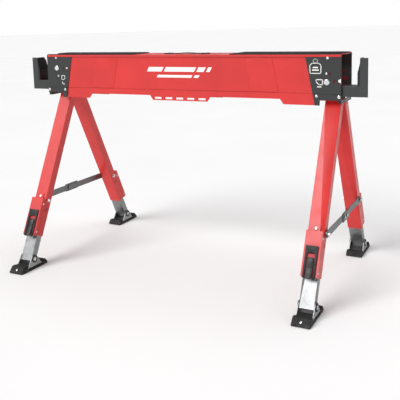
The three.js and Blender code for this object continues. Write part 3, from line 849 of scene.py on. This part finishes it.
# ---------------------------------------------------------------- spreader braces
def brace_hardware(side, sx):
    """Bolts and nuts of an end's two braces, and the rivets of its centre lock."""
    for face, _ in FACES:
        joint = Vector(joints[f"{side}_brace_{face}_swing"]["pos_m"])
        low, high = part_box(f"{side}_brace_{face}")
        x = high.x if sx > 0 else low.x
        head = hexagon(0.0100, 0.0042, 0.0066)
        bmesh.ops.transform(head, matrix=facing((x, joint.y, joint.z), (sx, 0, 0)), verts=head.verts)
        leg_low, leg_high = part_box(f"{side}_{face}_outer_leg")
        far = leg_low.x if sx > 0 else leg_high.x
        nut = hexagon(0.0095, 0.0045, 0.0062)
        bmesh.ops.transform(nut, matrix=facing((far, joint.y, joint.z), (-sx, 0, 0)), verts=nut.verts)
        finished(f"{side}_brace_{face}_bolt", head, bright, f"{side}_brace_{face}_link")
        finished(f"{side}_{face}_brace_nut", nut, bright, f"{side}_{face}_leg")
    low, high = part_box(f"{side}_brace_lock")
    x = high.x if sx > 0 else low.x
    z = (low.z + high.z) / 2
    heads = []
    for y in (-0.018, 0.006):
        part = dome(0.0046, 0.0018)
        bmesh.ops.transform(part, matrix=facing((x, y, z), (sx, 0, 0)), verts=part.verts)
        heads.append(part)
    finished(f"{side}_brace_lock_rivets", merge(heads), bright, f"{side}_brace_front_link")


for side, sx in SIDES:
    brace_hardware(side, sx)


# ---------------------------------------------------------------- camera, floor, light
def build_camera():
    """The photograph's view: position in metres, azimuth, pitch and roll in degrees."""
    spot = Vector((0.96529, -1.83257, 0.75929))
    azimuth, pitch, roll = (math.radians(v) for v in (26.79, 8.39, -1.50))
    flat = math.cos(pitch)
    ahead = Vector((-math.sin(azimuth) * flat, math.cos(azimuth) * flat, -math.sin(pitch)))
    level = Vector((math.cos(azimuth), math.sin(azimuth), 0))
    rise = level.cross(ahead)
    right = level * math.cos(roll) + rise * math.sin(roll)
    up = rise * math.cos(roll) - level * math.sin(roll)
    data = bpy.data.cameras.new("camera")
    data.sensor_width = 36
    data.lens = 59.9085
    data.shift_y = -0.2
    data.clip_end = 200
    camera = bpy.data.objects.new("camera", data)
    turn = Matrix((right, up, -ahead)).transposed().to_4x4()
    camera.matrix_world = Matrix.Translation(spot) @ turn
    bpy.context.scene.collection.objects.link(camera)
    bpy.context.scene.camera = camera


def build_floor():
    """A wide pale disc at z = 0."""
    bm = bmesh.new()
    bmesh.ops.create_circle(bm, cap_ends=True, radius=60, segments=96)
    mesh = bpy.data.meshes.new("floor")
    bm.to_mesh(mesh)
    bm.free()
    p = Paint("pale_floor", (0.90, 0.90, 0.90), 0.7)
    p.base(p.blend(p.remap(p.noise(1.2, 3), 0.3, 0.7), (0.885, 0.885, 0.885), (0.915, 0.915, 0.915)))
    mesh.materials.append(p.mat)
    floor = bpy.data.objects.new("floor", mesh)
    bpy.context.scene.collection.objects.link(floor)


def sun(name, toward, strength, spread):
    """Soft light from a direction, the same everywhere; spread is its angle across in degrees."""
    data = bpy.data.lights.new(name, "SUN")
    data.energy = strength
    data.angle = math.radians(spread)
    lamp = bpy.data.objects.new(name, data)
    lamp.matrix_world = facing((0, 0, 3), toward)
    bpy.context.scene.collection.objects.link(lamp)


def build_light():
    """A pale studio: bright around the horizon, darker overhead, and two soft lights."""
    world = bpy.data.worlds.new("studio")
    bpy.context.scene.world = world
    world.use_nodes = True
    tree = world.node_tree
    place = tree.nodes.new("ShaderNodeTexCoord")
    split = tree.nodes.new("ShaderNodeSeparateXYZ")
    fade = tree.nodes.new("ShaderNodeMapRange")
    tree.links.new(place.outputs["Generated"], split.inputs[0])
    tree.links.new(split.outputs[2], fade.inputs["Value"])
    for key, number in (("From Min", 0.05), ("From Max", 0.22), ("To Min", 1.0), ("To Max", 0.24)):
        fade.inputs[key].default_value = number
    tree.links.new(fade.outputs["Result"], tree.nodes["Background"].inputs["Strength"])
    tree.nodes["Background"].inputs["Color"].default_value = (1, 1, 1, 1)
    sun("key", (-0.4, -0.8, 0.75), 2.4, 35)
    sun("overhead", (0.1, 0.25, 1.0), 1.2, 60)
    bpy.context.scene.view_settings.view_transform = "Standard"


build_camera()
build_floor()
build_light()
